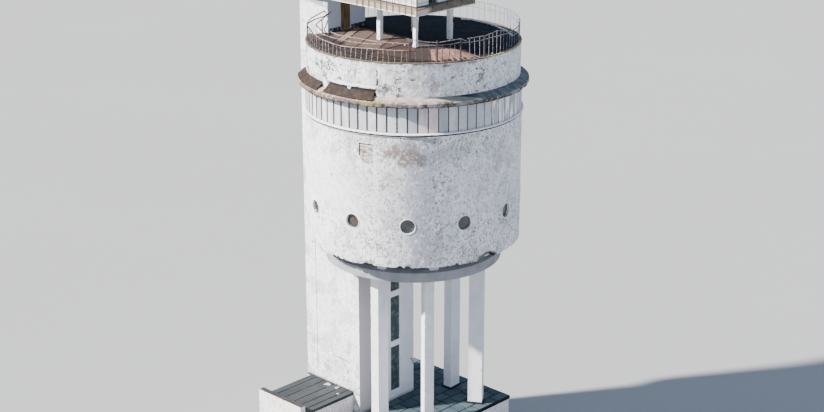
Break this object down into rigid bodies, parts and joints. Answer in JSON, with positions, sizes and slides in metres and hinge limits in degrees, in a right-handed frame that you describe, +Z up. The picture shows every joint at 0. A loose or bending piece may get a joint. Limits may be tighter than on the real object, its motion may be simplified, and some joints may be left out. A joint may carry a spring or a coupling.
{
  "type": "water tower",
  "caption": "Round water tower on concrete pylons with a square stair tower, portholes, a railed roof deck and an upper cabin, over a low base with an annex.",
  "frame": {"origin": "middle of the plan at ground level", "axes": "+Z up, -Y towards the annex, +X towards the side with the stair window"},
  "size_m": [14.8256, 15.9528, 35.145],
  "materials": {
    "plaster": "painted lime plaster, peeling",
    "panel": "light grey facing panels",
    "cornice": "concrete with rusted sheet cover",
    "concrete": "bare and whitewashed concrete",
    "felt": "roofing felt in strips",
    "sheet": "grey roofing sheet",
    "glass": "dark dusty glass",
    "door": "brown painted boards",
    "rust": "rusty steel bar"
  },
  "bodies": {
    "root": {"annex_roof": "sheet", "annex_walls": "plaster", "base_roof": "felt", "base_walls": "plaster", "bearing_ring_1": "concrete", "bearing_ring_2": "concrete", "cabin_roof": "sheet", "cabin_walls": "plaster", "cornice_1": "cornice", "cornice_2": "cornice", "deck": "felt", "deck_door": "door", "deck_post_1": "plaster", "deck_post_2": "plaster", "deck_post_3": "plaster", "deck_post_4": "plaster", "deck_railing_1": "rust", "deck_railing_2": "rust", "drum_wall_1": "plaster", "drum_wall_2": "plaster", "drum_wall_3": "plaster", "drum_wall_4": "plaster", "panel_band_1": "panel", "panel_band_2": "panel", "parapet_1": "plaster", "parapet_2": "plaster", "platform_railing": "rust", "platform_slab": "concrete", "porthole_glass_1": "glass", "porthole_glass_10": "glass", "porthole_glass_11": "glass", "porthole_glass_2": "glass", "porthole_glass_3": "glass", "porthole_glass_4": "glass", "porthole_glass_5": "glass", "porthole_glass_6": "glass", "porthole_glass_7": "glass", "porthole_glass_8": "glass", "porthole_glass_9": "glass", "pylon_1": "concrete", "pylon_2": "concrete", "pylon_3": "concrete", "pylon_4": "concrete", "pylon_5": "concrete", "shaft_walls": "plaster", "tank_floor": "concrete", "tower_walls": "plaster", "tower_window_glass": "glass"}
  },
  "joints": []
}
